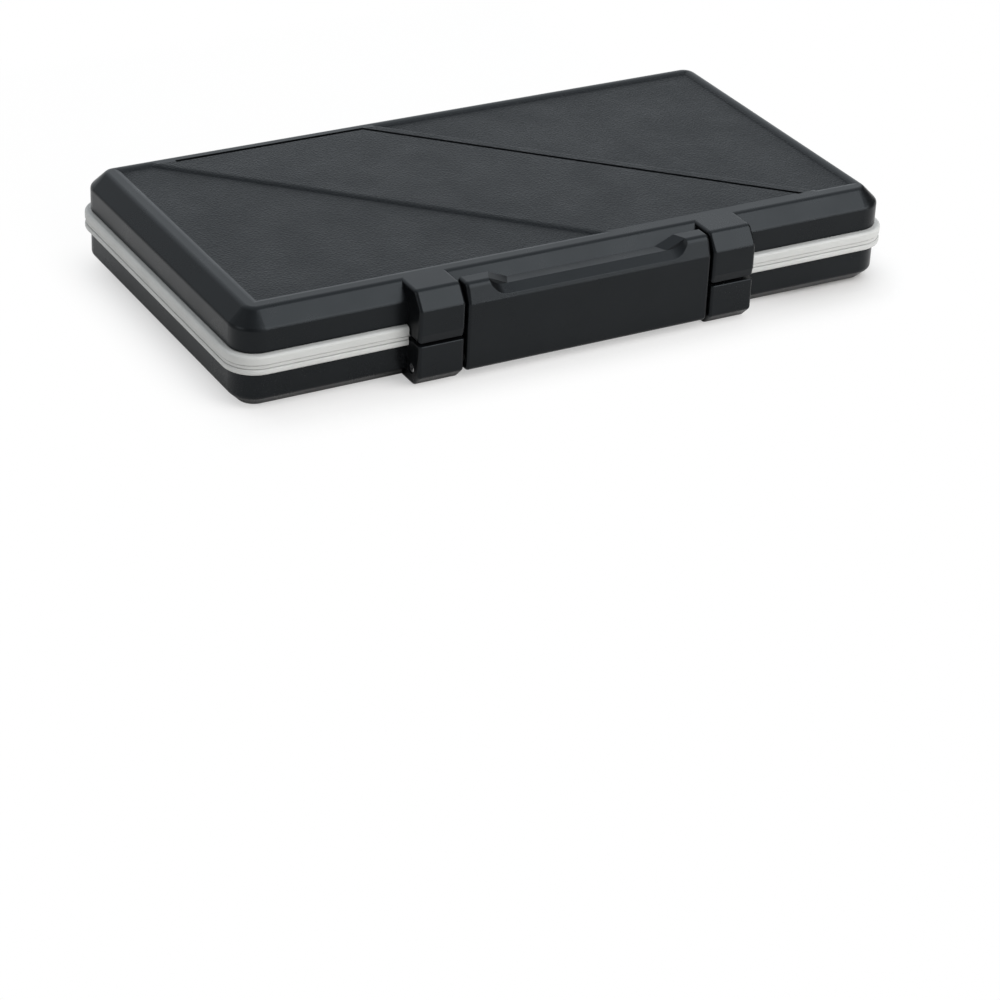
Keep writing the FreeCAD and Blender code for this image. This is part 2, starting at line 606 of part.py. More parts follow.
def lean_panel_walls(body):
    """Turn the upright walls of the sunk panels into slopes below their upper edges."""
    base = body.Tip
    top = number("Sizes.total_height")
    floor = top - number("Sizes.panel_depth")
    boxes = {f"Face{index}": face.BoundBox for index, face in enumerate(base.Shape.Faces, start=1)}
    walls = [name for name, box in boxes.items() if abs(box.ZMin - floor) < 1e-4 < box.ZLength]
    slopes = body.newObject("PartDesign::Draft", "panel_slopes")
    slopes.Base = (base, walls)
    slopes.NeutralPlane = (base, [name for name, box in boxes.items() if box.ZMin > top - 1e-4])
    slopes.setExpression("Angle", "Sizes.panel_taper")
    doc.recompute()


def on_slant(line, across):
    """Return the place along X of a slanted line of the lid, at a place across."""
    return f"({line} - Sizes.panel_slant * {across})"


def panel_edge(edge, limits, height):
    """Say whether an edge runs along a sunk panel's slopes at a height."""
    left_end, right_end, front, rear = limits
    box = edge.BoundBox
    inside = box.XMin > left_end - 1e-3 and box.XMax < right_end + 1e-3
    inside = inside and box.YMin > front - 1e-3 and box.YMax < rear + 1e-3
    return inside and level(edge, number(height))


def make_latch():
    """Build the latch: a hollow cover that turns on two pins and snaps over the lid's catch rib."""
    body = new_body("latch")
    profile = [
        (LATCH_PIN_Y, "Sizes.latch_foot"),
        (f"({LUG_FRONT} + Sizes.latch_foot_bevel)", "Sizes.latch_foot"),
        (LUG_FRONT, "(Sizes.latch_foot + Sizes.latch_foot_bevel)"),
        (LUG_FRONT, f"({LATCH_TOP} - Sizes.latch_bevel_drop)"),
        (f"({LUG_FRONT} + Sizes.latch_bevel_run)", LATCH_TOP),
        (LATCH_BACK, LATCH_TOP),
        (LATCH_BACK, "Sizes.latch_pin_height"),
    ]
    pad(body, polygon(body, "latch_profile", "YZ_Plane", profile), f"2 * {LATCH_HALF}", both_sides=True)
    dress(body, "Fillet", lambda edge: latch_front_edge(edge, True), "Sizes.top_round")
    dress(body, "Fillet", lambda edge: latch_front_edge(edge, False), "Sizes.edge_round")
    dress(body, "Fillet", latch_end_edge, "Sizes.lug_round")
    barrel = circle(body, "latch_barrel_outline", "YZ_Plane", LATCH_PIN_Y, "Sizes.latch_pin_height",
                    "Sizes.latch_barrel")
    pad(body, barrel, f"2 * {LATCH_HALF}", both_sides=True)
    inner_half = f"({LATCH_HALF} - Sizes.latch_cheek)"
    hollow = rectangle_corners(LATCH_INSIDE, f"(-{HALF_WIDTH})", "Sizes.latch_core_low", BEAD_LOW)
    pocket(body, polygon(body, "latch_hollow", "YZ_Plane", hollow), f"2 * {inner_half}", both_sides=True)
    cut_grip(body)
    bead_face = f"(-{HALF_WIDTH} - Sizes.bead_wall_gap)"
    bead = rectangle_corners(f"({LATCH_BACK} - Sizes.bead_height)", bead_face, BEAD_LOW, BEAD_TOP)
    pad(body, polygon(body, "snap_bead", "YZ_Plane", bead), f"2 * {inner_half}", both_sides=True)
    hole = circle(body, "latch_bore", "YZ_Plane", LATCH_PIN_Y, "Sizes.latch_pin_height",
                  f"({PIN_RADIUS} + Sizes.pin_fit)", LATCH_HALF)
    mirror(body, [pocket(body, hole, "Sizes.latch_pin_bite + Sizes.latch_pin_sunk")])
    return body


def cut_grip(body):
    """Cut the finger grip: a notch that leaves a low rail, and a slanted scoop in front of the rail."""
    cut_front = f"({LUG_FRONT} - Sizes.grip_margin)"
    cut_rear = f"({LATCH_BACK} + Sizes.grip_margin)"
    back_half = f"({LATCH_HALF} - Sizes.grip_side)"
    front_half = f"({back_half} + ({LATCH_BACK} - {cut_front}) * Sizes.grip_flare)"
    rear_half = f"({back_half} + ({LATCH_BACK} - {cut_rear}) * Sizes.grip_flare)"
    notch = [
        (f"-{front_half}", cut_front),
        (front_half, cut_front),
        (rear_half, cut_rear),
        (f"-{rear_half}", cut_rear),
    ]
    grip = pocket(body, polygon(body, "grip_notch", "XY_Plane", notch, LATCH_TOP), "Sizes.grip_depth")
    grip.setExpression("TaperAngle", "-Sizes.grip_taper")
    doc.recompute()
    scoop_height = "(2 * Sizes.scoop_round)"
    outline = new_sketch(body, "grip_scoop", "XZ_Plane", f"-{RAIL_FRONT}")
    outline.setExpression("AttachmentOffset.Base.y", f"{RAIL_TOP} + {scoop_height}")
    scoop_half = f"({LATCH_HALF} - Sizes.scoop_side)"
    add_rounded_rectangle(outline, scoop_half, scoop_height, "Sizes.scoop_round")
    scoop = pocket(body, outline, "2 * Sizes.lug_reach")
    scoop.UseCustomVector = True
    scoop.setExpression("Direction.x", "0")
    scoop.setExpression("Direction.y", "-cos(Sizes.scoop_slope)")
    scoop.setExpression("Direction.z", "-sin(Sizes.scoop_slope)")
    doc.recompute()
    lip_length = 2 * number(f"{scoop_half} - Sizes.scoop_round")
    dress(body, "Fillet", lambda edge: scoop_lip(edge, lip_length), "Sizes.scoop_edge")


def scoop_lip(edge, length):
    """Say whether an edge is the straight lip between the scoop and the latch's front bevel."""
    box = edge.BoundBox
    return abs(box.XLength - length) < 1e-3 and box.YMax < number(RAIL_FRONT) - 1e-3


def latch_front_edge(edge, upper):
    """Say whether an edge runs along the front of the latch, in its upper or its lower half."""
    box = edge.BoundBox
    front_line = box.YMax < number(f"{LUG_FRONT} + Sizes.latch_bevel_run") + 1e-4
    in_half = (box.ZMin > number(MIDDLE_HEIGHT)) == upper
    return front_line and in_half and box.XLength > number(LATCH_HALF)


def latch_end_edge(edge):
    """Say whether an edge borders the front part of one of the latch's ends."""
    box = edge.BoundBox
    on_end = box.XLength < 1e-4 and abs(abs(box.XMin) - number(LATCH_HALF)) < 1e-4
    return on_end and box.YMax < number(LATCH_BACK) - 1e-4 and box.ZMax > number("Sizes.latch_pin_height")


def make_latch_pin(side):
    """Build one rolled latch pin, a slotted steel tube held in a lower lug."""
    label = f"latch_pin_{side.name}"
    body = new_body(label)
    outer_end = f"({LUG_OUTER} - Sizes.latch_pin_sunk)"
    inner_end = f"({LATCH_HALF} - Sizes.latch_pin_bite)"
    start = inner_end if side.sign > 0 else f"(-{outer_end})"
    length = f"({outer_end} - {inner_end})"
    sketch = new_sketch(body, f"{label}_ring", "YZ_Plane", start)
    add_circle(sketch, LATCH_PIN_Y, "Sizes.latch_pin_height", PIN_RADIUS)
    add_circle(sketch, LATCH_PIN_Y, "Sizes.latch_pin_height", f"({PIN_RADIUS} - Sizes.pin_tube_wall)")
    pad(body, sketch, length)
    slot = rectangle_corners(
        f"({LATCH_PIN_Y} - Sizes.pin_slot / 2)",
        f"({LATCH_PIN_Y} + Sizes.pin_slot / 2)",
        "Sizes.latch_pin_height",
        "(Sizes.latch_pin_height + Sizes.pin_diameter)",
    )
    pocket(body, polygon(body, f"{label}_slot", "YZ_Plane", slot, start), length, reverse=True)
    dress(body, "Fillet", pin_rim, "Sizes.pin_rim_round")
    return body


def pin_rim(edge):
    """Say whether an edge is an outer rim of a latch pin."""
    box = edge.BoundBox
    return box.XLength < 1e-4 and box.YLength > number("Sizes.pin_diameter - Sizes.pin_tube_wall")


def make_hinge_pin(side):
    """Build one solid hinge pin, held in the two base knuckles of a hinge."""
    label = f"hinge_pin_{side.name}"
    body = new_body(label)
    reach = f"({HINGE_HALF} - Sizes.hinge_pin_sunk)"
    start = f"({side.sign} * {HINGE_CENTRE} - {reach})"
    section = circle(body, f"{label}_section", "YZ_Plane", HINGE_Y, MIDDLE_HEIGHT, PIN_RADIUS, start)
    pad(body, section, f"2 * {reach}")
    dress(body, "Chamfer", lambda edge: edge.BoundBox.XLength < 1e-4, "Sizes.pin_end_chamfer")
    return body


def cut_band_notches(body, low, depth):
    """Cut the soft band back where the front lugs and the rear hinges stand."""
    beyond = f"({HALF_WIDTH} + 2 * Sizes.band_overhang)"
    front_half = f"({LUG_OUTER} + Sizes.lug_clearance)"
    front_line = f"(-{HALF_WIDTH} + Sizes.lug_clearance)"
    rear_line = f"({HINGE_Y} - Sizes.hinge_barrel - Sizes.lug_clearance)"
    rear_inner = f"({HINGE_CENTRE} - {HINGE_HALF} - Sizes.lug_clearance)"
    rear_outer = f"({HINGE_CENTRE} + {HINGE_HALF} + Sizes.lug_clearance)"
    sketch = new_sketch(body, f"{body.Name}_notches", "XY_Plane", low)
    add_polygon(sketch, rectangle_corners(f"-{front_half}", front_half, f"-{beyond}", front_line))
    add_polygon(sketch, rectangle_corners(rear_inner, rear_outer, rear_line, beyond))
    add_polygon(sketch, rectangle_corners(f"-{rear_outer}", f"-{rear_inner}", rear_line, beyond))
    pocket(body, sketch, depth, reverse=True)


def ring_sketch(body, name, outer_inset, inner_inset, lift):
    """Sketch a ring between two insets of the shells' outline."""
    sketch = new_sketch(body, name, "XY_Plane", lift)
    add_inset_outline(sketch, outer_inset)
    add_inset_outline(sketch, inner_inset)
    return sketch


def repeat(body, originals, columns, pitch, rows=None, row_pitch=None):
    """Repeat pockets along X, and along Y where rows are given."""
    directions = [("X_Axis", columns, pitch)]
    if rows:
        directions.append(("Y_Axis", rows, row_pitch))
    grid = body.newObject("PartDesign::MultiTransform", f"{originals[0].Name}_grid")
    grid.Originals = originals
    steps = []
    for role, count, distance in directions:
        step = body.newObject("PartDesign::LinearPattern", f"{originals[0].Name}_{role[0].lower()}")
        step.Direction = (origin_plane(body, role), [""])
        step.setExpression("Occurrences", count)
        step.setExpression("Length", f"({count} - 1) * {distance}")
        steps.append(step)
    grid.Transformations = steps
    body.Tip = grid
    doc.recompute()


def cut_card_pockets(body, deck, upward):
    """Cut the pockets for full-size and small cards into a tray's deck, with their thumb notches."""
    name = body.Name
    well_length = f"(2 * ({HALF_LENGTH} - Sizes.well_inset))"
    well_edge = f"({HALF_WIDTH} - Sizes.well_inset)"
    half_x = "(Sizes.card_width / 2 + Sizes.card_clearance)"
    half_y = "(Sizes.card_length / 2 + Sizes.card_clearance)"
    small_half_x = "(Sizes.small_width / 2 + Sizes.card_clearance)"
    small_half_y = "(Sizes.small_length / 2 + Sizes.card_clearance)"
    first_row = f"({half_y} + Sizes.card_margin - {well_edge})"
    small_row = f"({well_edge} - Sizes.small_margin - {small_half_y})"
    row_room = f"({small_row} - {small_half_y} - {first_row} - {half_y})"
    rows = f"(floor({row_room} / Sizes.card_row_pitch) + 1)"
    columns = f"(floor(({well_length} - 2 * {half_x}) / Sizes.card_pitch) + 1)"
    small_columns = f"(floor(({well_length} - 2 * {small_half_x}) / Sizes.small_pitch) + 1)"
    first_x = f"(-({columns} - 1) * Sizes.card_pitch / 2)"
    outline = rectangle_corners(
        f"({first_x} - {half_x})", f"({first_x} + {half_x})",
        f"({first_row} - {half_y})", f"({first_row} + {half_y})",
    )
    depth = "(Sizes.card_thickness + Sizes.pocket_margin)"
    card = pocket(body, polygon(body, f"{name}_card", "XY_Plane", outline, deck), depth, reverse=upward)
    thumb_y = f"({first_row} - {half_y} + Sizes.thumb_inset)"
    notch = circle(body, f"{name}_thumb", "XY_Plane", first_x, thumb_y, "Sizes.thumb_radius", deck)
    thumb = pocket(body, notch, depth, reverse=upward)
    repeat(body, [card, thumb], columns, "Sizes.card_pitch", rows, "Sizes.card_row_pitch")
    small_x = f"(-({small_columns} - 1) * Sizes.small_pitch / 2)"
    small_outline = rectangle_corners(
        f"({small_x} - {small_half_x})", f"({small_x} + {small_half_x})",
        f"({small_row} - {small_half_y})", f"({small_row} + {small_half_y})",
    )
    small_depth = "(Sizes.small_thickness + Sizes.pocket_margin)"
    small_sketch = polygon(body, f"{name}_small", "XY_Plane", small_outline, deck)
    small = pocket(body, small_sketch, small_depth, reverse=upward)
    small_thumb_y = f"({small_row} + {small_half_y} - Sizes.small_thumb_inset)"
    small_notch = circle(body, f"{name}_small_thumb", "XY_Plane", small_x, small_thumb_y,
                         "Sizes.small_thumb_radius", deck)
    small_thumb = pocket(body, small_notch, small_depth, reverse=upward)
    repeat(body, [small, small_thumb], small_columns, "Sizes.small_pitch")


def make_tray(label, back, lip_rim, lip_face, deck, shell_bevel):
    """Build one soft card tray with the lip that shows as part of the band.

    Args:
        back: height of the face that rests on the shell's floor or roof.
        lip_rim: height where the lip rests on the shell's rim.
        lip_face: height of the face that meets the seal.
        deck: height of the deck that the pockets are cut into.
        shell_bevel: bevel inside the shell, which the tray's back edge clears.
    """
    body = new_body(label)
    upward = number(lip_face) < number(back)
    rise = f"abs({lip_face} - {back})"
    lip_height = f"abs({lip_face} - {lip_rim})"
    wall_inset = "(Sizes.shell_wall + Sizes.tray_clearance)"
    pad(body, inset_outline(body, f"{label}_block", wall_inset, back), rise, reverse=upward)
    back_height = number(back)
    dress(body, "Chamfer", lambda edge: level(edge, back_height), f"({shell_bevel} + Sizes.tray_clearance)")
    lip_inset = "(-Sizes.band_overhang)"
    pad(body, inset_outline(body, f"{label}_lip", lip_inset, lip_rim), lip_height, reverse=upward)
    for height, size in ((lip_rim, "Sizes.lip_round"), (lip_face, "Sizes.lip_crease")):
        dress(body, "Fillet", lambda edge: band_edge(edge, height, lip_inset), size)
    well_inset = "Sizes.well_inset"
    well = rounded_rectangle(body, f"{label}_well", shrunk(HALF_LENGTH, well_inset),
                             shrunk(HALF_WIDTH, well_inset), "Sizes.well_radius", lip_face)
    pocket(body, well, f"abs({lip_face} - {deck})", reverse=upward)
    cut_card_pockets(body, deck, upward)
    cut_band_notches(body, f"min({lip_face}; {lip_rim})", lip_height)
    return body


def band_edge(edge, height, inset):
    """Say whether an edge lies on the inset outline of the shells at a height."""
    box = edge.BoundBox
    at_end = max(abs(box.XMin), abs(box.XMax)) > number(shrunk(HALF_LENGTH, inset)) - 1e-3
    at_side = max(abs(box.YMin), abs(box.YMax)) > number(shrunk(HALF_WIDTH, inset)) - 1e-3
    return level(edge, number(height)) and (at_end or at_side)


def make_seal():
    """Build the seal ring that lies on the base tray's lip, with its tongue in the lip's groove."""
    body = new_body("seal_ring")
    outer_inset = "(Sizes.seal_inset - Sizes.band_overhang)"
    outline = ring_sketch(body, "seal_outline", outer_inset, "Sizes.seal_width", BASE_LIP_TOP)
    pad(body, outline, "Sizes.seal_height")
    for height in (BASE_LIP_TOP, SEAL_TOP):
        dress(body, "Fillet", lambda edge: band_edge(edge, height, outer_inset), "Sizes.lip_crease")
    tongue_inner = "(Sizes.shell_wall + Sizes.seal_tongue_width)"
    tongue = ring_sketch(body, "seal_tongue_outline", "Sizes.shell_wall", tongue_inner, BASE_LIP_TOP)
    pad(body, tongue, "Sizes.seal_tongue", reverse=True)
    cut_band_notches(body, BASE_LIP_TOP, "Sizes.seal_height")
    return body


def cut_seal_groove(body):
    """Cut the groove that takes the seal's tongue into the base tray's lip."""
    outer = "(Sizes.shell_wall - Sizes.tray_clearance)"
    inner = "(Sizes.shell_wall + Sizes.seal_tongue_width + Sizes.tray_clearance)"
    groove = ring_sketch(body, "seal_groove", outer, inner, BASE_LIP_TOP)
    pocket(body, groove, "Sizes.seal_tongue + Sizes.closing_gap")


def check_document():
    """Stop if any object of the document failed or any sub-part has no sound shape."""
    for item in doc.Objects:
        if "Invalid" in item.State or "Error" in item.State:
            raise RuntimeError(f"{item.Label} failed to build: {item.State}")
    for body in sub_parts:
        shape = body.Shape
        if shape.isNull() or not shape.isValid() or len(shape.Solids) != 1:
            raise RuntimeError(f"{body.Label} is not one sound solid: {len(shape.Solids)} solids")


base_shell = make_base_shell()
lid_shell = make_lid_shell()
latch = make_latch()
base_tray = make_tray(
    "base_tray", "Sizes.floor_thickness", BASE_RIM, BASE_LIP_TOP, BASE_DECK, FLOOR_BEVEL
)
cut_seal_groove(base_tray)
lid_tray = make_tray("lid_tray", ROOF_INSIDE, LID_RIM, LID_LIP_FOOT, LID_DECK, ROOF_BEVEL)
seal_ring = make_seal()
sub_parts = [base_shell, lid_shell, latch, base_tray, lid_tray, seal_ring]
for pin_side in SIDES:
    sub_parts.append(make_latch_pin(pin_side))
    sub_parts.append(make_hinge_pin(pin_side))

doc.recompute()
check_document()
os.makedirs("parts", exist_ok=True)
for sub_part in sub_parts:
    sub_part.Shape.exportStep(f"parts/{sub_part.Label}.step")
    print(f"{sub_part.Label}: {sub_part.Shape.Volume:.1f} mm3")
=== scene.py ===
"""Dress the memory card case: its finishes, the floor it lies on, the light and the camera.

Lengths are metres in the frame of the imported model: X along the case, the latch at -Y,
the hinge at +Y, and Z = 0 on the floor.
"""
import logging
import math
from dataclasses import dataclass, field, replace
from enum import Enum
from typing import Any, Union

import bmesh
import bpy
from mathutils import Matrix, Vector

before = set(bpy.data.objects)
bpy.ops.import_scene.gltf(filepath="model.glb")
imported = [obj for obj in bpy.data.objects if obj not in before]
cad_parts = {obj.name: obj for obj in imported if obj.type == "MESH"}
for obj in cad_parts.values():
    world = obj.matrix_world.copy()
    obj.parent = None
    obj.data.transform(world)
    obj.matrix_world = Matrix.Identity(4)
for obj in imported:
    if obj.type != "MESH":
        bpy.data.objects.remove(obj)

log = logging.getLogger("memory_card_case")
MM = 0.001
Triple = tuple[float, float, float]
Colour = Triple
# Cloudy noise takes a finish from one tint to the other, and from smooth to rough, between these values.
TINT_RANGE = (0.3, 0.75)
ROUGHNESS_RANGE = (0.3, 0.7)
CLOUD_DETAIL = 4.0


class Value:
    """A number on a shader's wire, with the usual operators."""

    def __init__(self, shader: "Shader", socket: bpy.types.NodeSocket) -> None:
        """Keep the wire's socket and the shader it belongs to."""
        self.shader = shader
        self.socket = socket

    def _math(self, operation: str, *operands: "Given") -> "Value":
        """Add one Math node.

        Args:
            operation: The Math node's operation.
            operands: Its inputs, in order.

        Returns:
            The result.
        """
        return self.shader.node("ShaderNodeMath", {"operation": operation}, dict(enumerate(operands)))

    def __add__(self, other: "Given") -> "Value":
        """Return the sum."""
        return self._math("ADD", self, other)

    def __radd__(self, other: "Given") -> "Value":
        """Return the sum."""
        return self._math("ADD", other, self)

    def __sub__(self, other: "Given") -> "Value":
        """Return the difference."""
        return self._math("SUBTRACT", self, other)

    def __rsub__(self, other: "Given") -> "Value":
        """Return the difference, the other way round."""
        return self._math("SUBTRACT", other, self)

    def __mul__(self, other: "Given") -> "Value":
        """Return the product."""
        return self._math("MULTIPLY", self, other)

    def __rmul__(self, other: "Given") -> "Value":
        """Return the product."""
        return self._math("MULTIPLY", other, self)

    def __abs__(self) -> "Value":
        """Return the size without its sign."""
        return self._math("ABSOLUTE", self)

    def larger(self, other: "Given") -> "Value":
        """Return the larger of two values."""
        return self._math("MAXIMUM", self, other)

    def ramp(self, low: float, high: float, to_low: float = 0.0, to_high: float = 1.0) -> "Value":
        """Turn a range of this value smoothly into another.

        Args:
            low: Value that gives to_low.
            high: Value that gives to_high.
            to_low: Result at and beyond low.
            to_high: Result at and beyond high.

        Returns:
            The smooth result.
        """
        settings = {"interpolation_type": "SMOOTHSTEP"}
        inputs = {"Value": self, "From Min": low, "From Max": high, "To Min": to_low, "To Max": to_high}
        return self.shader.node("ShaderNodeMapRange", settings, inputs)


Given = Union[Value, float, Colour]


class Shader:
    """A node tree that is written as expressions."""

    def __init__(self, tree: bpy.types.NodeTree) -> None:
        """Start from an empty tree."""
        self.tree = tree
        self.tree.nodes.clear()

    def node(
        self,
        kind: str,
        settings: dict[str, Any] | None = None,
        inputs: dict[str | int, Given] | None = None,
        output: str | int = 0,
    ) -> Value:
        """Add a node.

        Args:
            kind: The node's type.
            settings: Its properties, which are set first.
            inputs: Values or wires of its sockets, by name or number.
            output: The output to return, by name or number.

        Returns:
            That output.
        """
        step = self.tree.nodes.new(kind)
        for name, setting in (settings or {}).items():
            setattr(step, name, setting)
        for key, given in (inputs or {}).items():
            socket = self._socket(step.inputs, key)
            if isinstance(given, Value):
                self.tree.links.new(given.socket, socket)
            elif isinstance(given, tuple) and socket.type == "RGBA":
                socket.default_value = (*given, 1.0)
            else:
                socket.default_value = given
        return Value(self, self._socket(step.outputs, output))

    @staticmethod
    def _socket(sockets: bpy.types.NodeInputs, key: str | int) -> bpy.types.NodeSocket:
        """Find a socket in use by its name or number.

        Args:
            sockets: A node's inputs or outputs.
            key: The socket's name or number.

        Returns:
            The socket.
        """
        if isinstance(key, int):
            return sockets[key]
        return next(socket for socket in sockets if socket.name == key and socket.enabled)

    def mix(self, share: Given, first: Given, second: Given) -> Value:
        """Mix two colours by a share of the second."""
        settings = {"data_type": "RGBA"}
        return self.node("ShaderNodeMix", settings, {"Factor": share, "A": first, "B": second}, "Result")

    def place(self) -> Value:
        """Return the place on the object."""
        return self.node("ShaderNodeTexCoord", output="Object")

    def axes(self, place: Value) -> tuple[Value, Value, Value]:
        """Split a place into its three numbers.

        Args:
            place: The place.

        Returns:
            Its numbers along X, Y and Z.
        """
        parts = self.tree.nodes.new("ShaderNodeSeparateXYZ")
        self.tree.links.new(place.socket, parts.inputs[0])
        return tuple(Value(self, socket) for socket in parts.outputs)

    def noise(self, place: Value, size: float, detail: float = 2.0) -> Value:
        """Return cloudy noise.

        Args:
            place: Where it is read.
            size: Length of its features.
            detail: Octaves of finer noise.

        Returns:
            A value about one half.
        """
        return self.node("ShaderNodeTexNoise", None, {"Vector": place, "Scale": 1.0 / size, "Detail": detail})

    def cells(self, place: Value, size: float) -> Value:
        """Return the distance from the edges of irregular cells, in cell sizes."""
        settings = {"feature": "DISTANCE_TO_EDGE"}
        return self.node("ShaderNodeTexVoronoi", settings, {"Vector": place, "Scale": 1.0 / size})

    def bump(self, height: Value, depth: float, under: Value | None = None) -> Value:
        """Return a normal bent by a height.

        Args:
            height: Height from 0 to 1.
            depth: Length of a height of 1.
            under: A bump that lies under this one.

        Returns:
            The bent normal.
        """
        inputs = {"Strength": 1.0, "Distance": depth, "Height": height}
        if under is not None:
            inputs["Normal"] = under
        return self.node("ShaderNodeBump", None, inputs)

    def surface(self, inputs: dict[str, Given]) -> None:
        """Finish the tree with a surface that has these inputs."""
        self.finish(self.node("ShaderNodeBsdfPrincipled", None, inputs))

    def finish(self, result: Value, kind: str = "ShaderNodeOutputMaterial") -> None:
        """Join a shader to the tree's output."""
        step = self.tree.nodes.new(kind)
        self.tree.links.new(result.socket, step.inputs["Surface"])


def new_material(name: str) -> tuple[bpy.types.Material, Shader]:
    """Start a material.

    Args:
        name: The material's name.

    Returns:
        The material and its empty shader.
    """
    material = bpy.data.materials.new(name)
    material.use_nodes = True
    return material, Shader(material.node_tree)


@dataclass(frozen=True)
class GrainPatch:
    """The part of the lid's top that has a leather grain, and the grain's pebbles."""

    left: float = -86.6 * MM
    right: float = 88.2 * MM
    front: float = -41.0 * MM
    rear: float = 42.8 * MM
    lowest: float = 24.8 * MM
    soft_edge: float = 0.5 * MM
    soft_rise: float = 0.1 * MM
    cell: float = 0.95 * MM
    cell_edge: float = 0.3
    depth: float = 0.115 * MM
    wander_size: float = 2.2 * MM
    wander_reach: float = 1.1 * MM
    swell_size: float = 2.6 * MM
    pebble_share: float = 0.65
    swell_share: float = 0.35
    roughening: float = 0.18

    def mask(self, shader: Shader, place: Value) -> Value:
        """Return 1 on the grained part and 0 elsewhere.

        Args:
            shader: The shader that the mask belongs to.
            place: The place on the object.

        Returns:
            The mask.
        """
        across, along, up = shader.axes(place)
        from_left = across.ramp(self.left - self.soft_edge, self.left)
        from_right = across.ramp(self.right, self.right + self.soft_edge, 1.0, 0.0)
        from_front = along.ramp(self.front - self.soft_edge, self.front)
        from_rear = along.ramp(self.rear, self.rear + self.soft_edge, 1.0, 0.0)
        on_top = up.ramp(self.lowest, self.lowest + self.soft_rise)
        return from_left * from_right * from_front * from_rear * on_top

    def bump(self, shader: Shader, place: Value, patch: Value, under: Value) -> Value:
        """Lay the leather grain over the texture of the mould.

        Args:
            shader: The material's shader.
            place: The place on the object.
            patch: Where the grain shows.
            under: The normal beneath it.

        Returns:
            The normal with the grain.
        """
        wander_inputs = {"Vector": place, "Scale": 1.0 / self.wander_size}
        wander = shader.node("ShaderNodeTexNoise", None, wander_inputs, "Color")
        middle = (0.5, 0.5, 0.5)
        shift = shader.node("ShaderNodeVectorMath", {"operation": "SUBTRACT"}, {0: wander, 1: middle})
        reach = (self.wander_reach,) * 3
        bent_inputs = {0: shift, 1: reach, 2: place}
        bent = shader.node("ShaderNodeVectorMath", {"operation": "MULTIPLY_ADD"}, bent_inputs)
        pebbles = shader.cells(bent, self.cell).ramp(0.0, self.cell_edge)
        swell = shader.noise(place, self.swell_size)
        height = (self.pebble_share * pebbles + self.swell_share * swell) * patch
        return shader.bump(height, self.depth, under)


@dataclass(frozen=True)
class MouldedPlastic:
    """Satin black plastic with the faint texture of its mould, and a leather grain where asked."""

    name: str
    colour: Colour
    bloom: Colour
    roughness: float
    grain: GrainPatch | None = None
    roughness_sway: float = 0.03
    cloud_size: float = 14 * MM
    pore_size: float = 0.28 * MM
    pore_depth: float = 0.006 * MM
    pore_roughening: float = 0.05
    refraction: float = 1.5
    specular_level: float = 0.2
    specular_tint: Colour = (0.86, 0.94, 1.0)

    def material(self) -> bpy.types.Material:
        """Make the material.

        Returns:
            The material.
        """
        material, shader = new_material(self.name)
        place = shader.place()
        cloud = shader.noise(place, self.cloud_size, CLOUD_DETAIL)
        pores = shader.noise(place, self.pore_size)
        colour = shader.mix(cloud.ramp(*TINT_RANGE), self.colour, self.bloom)
        smoothest = self.roughness - self.roughness_sway
        roughest = self.roughness + self.roughness_sway
        roughness = cloud.ramp(*ROUGHNESS_RANGE, smoothest, roughest) + self.pore_roughening * pores
        normal = shader.bump(pores, self.pore_depth)
        if self.grain:
            patch = self.grain.mask(shader, place)
            normal = self.grain.bump(shader, place, patch, normal)
            roughness = roughness + self.grain.roughening * patch
        shader.surface({
            "Base Color": colour,
            "Roughness": roughness,
            "IOR": self.refraction,
            "Specular IOR Level": self.specular_level,
            "Specular Tint": self.specular_tint,
            "Normal": normal,
        })
        return material


@dataclass(frozen=True)
class SoftElastomer:
    """Matte grey elastomer with a faint bloom."""

    name: str
    colour: Colour
    shade: Colour
    roughness: float
    roughness_sway: float = 0.05
    cloud_size: float = 9 * MM
    pore_size: float = 0.35 * MM
    pore_detail: float = 3.0
    pore_depth: float = 0.012 * MM
    specular_level: float = 0.35

    def material(self) -> bpy.types.Material:
        """Make the material.

        Returns:
            The material.
        """
        material, shader = new_material(self.name)
        place = shader.place()
        cloud = shader.noise(place, self.cloud_size, CLOUD_DETAIL)
        pores = shader.noise(place, self.pore_size, self.pore_detail)
        colour = shader.mix(cloud.ramp(*TINT_RANGE), self.colour, self.shade)
        smoothest = self.roughness - self.roughness_sway
        roughest = self.roughness + self.roughness_sway
        shader.surface({
            "Base Color": colour,
            "Roughness": cloud.ramp(*ROUGHNESS_RANGE, smoothest, roughest),
            "Specular IOR Level": self.specular_level,
            "Normal": shader.bump(pores, self.pore_depth),
        })
        return material


@dataclass(frozen=True)
class DrawnSteel:
    """Bright steel with fine lines along the drawn length."""

    name: str
    colour: Colour
    shade: Colour
    roughness: float
    smoother: float = 0.06
    rougher: float = 0.08
    line_scale: Triple = (0.06, 1.0, 1.0)
    line_size: float = 0.12 * MM
    line_depth: float = 0.004 * MM
    stain_size: float = 1.6 * MM
    stain_range: tuple[float, float] = (0.35, 0.75)
    detail: float = 3.0

    def material(self) -> bpy.types.Material:
        """Make the material.

        Returns:
            The material.
        """
        material, shader = new_material(self.name)
        place = shader.place()
        stretched = shader.node("ShaderNodeMapping", None, {"Vector": place, "Scale": self.line_scale})
        lines = shader.noise(stretched, self.line_size, self.detail)
        stain = shader.noise(place, self.stain_size, self.detail)
        smoothest = self.roughness - self.smoother
        roughest = self.roughness + self.rougher
        shader.surface({
            "Base Color": shader.mix(stain.ramp(*self.stain_range), self.colour, self.shade),
            "Metallic": 1.0,
            "Roughness": lines.ramp(*ROUGHNESS_RANGE, smoothest, roughest),
            "Normal": shader.bump(lines, self.line_depth),
        })
        return material


